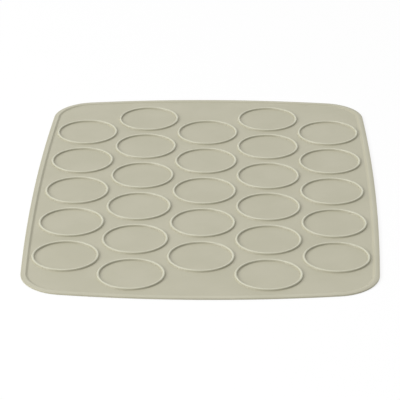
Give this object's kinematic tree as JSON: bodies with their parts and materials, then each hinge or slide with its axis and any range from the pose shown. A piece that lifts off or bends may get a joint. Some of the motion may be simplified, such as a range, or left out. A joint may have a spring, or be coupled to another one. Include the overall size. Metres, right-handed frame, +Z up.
{
  "type": "baking mat",
  "caption": "Flat moulded silicone baking mat with bowed sides, rounded corners, a raised rim and staggered columns of raised ring ridges that guide piped round shells.",
  "frame": {"origin": "centre of the flat underside, on the surface that the mat lies on", "axes": "+Z up out of the ridged face, +Y along the mat's length, +X along its width"},
  "size_m": [0.276, 0.3826, 0.0021],
  "materials": {
    "silicone": "satin moulded silicone, sage beige"
  },
  "bodies": {
    "root": {"base_sheet": "silicone", "rim_bead": "silicone", "ring_ridge_c1_r1": "silicone", "ring_ridge_c1_r2": "silicone", "ring_ridge_c1_r3": "silicone", "ring_ridge_c1_r4": "silicone", "ring_ridge_c1_r5": "silicone", "ring_ridge_c2_r1": "silicone", "ring_ridge_c2_r2": "silicone", "ring_ridge_c2_r3": "silicone", "ring_ridge_c2_r4": "silicone", "ring_ridge_c2_r5": "silicone", "ring_ridge_c2_r6": "silicone", "ring_ridge_c3_r1": "silicone", "ring_ridge_c3_r2": "silicone", "ring_ridge_c3_r3": "silicone", "ring_ridge_c3_r4": "silicone", "ring_ridge_c3_r5": "silicone", "ring_ridge_c4_r1": "silicone", "ring_ridge_c4_r2": "silicone", "ring_ridge_c4_r3": "silicone", "ring_ridge_c4_r4": "silicone", "ring_ridge_c4_r5": "silicone", "ring_ridge_c4_r6": "silicone", "ring_ridge_c5_r1": "silicone", "ring_ridge_c5_r2": "silicone", "ring_ridge_c5_r3": "silicone", "ring_ridge_c5_r4": "silicone", "ring_ridge_c5_r5": "silicone"}
  },
  "joints": []
}
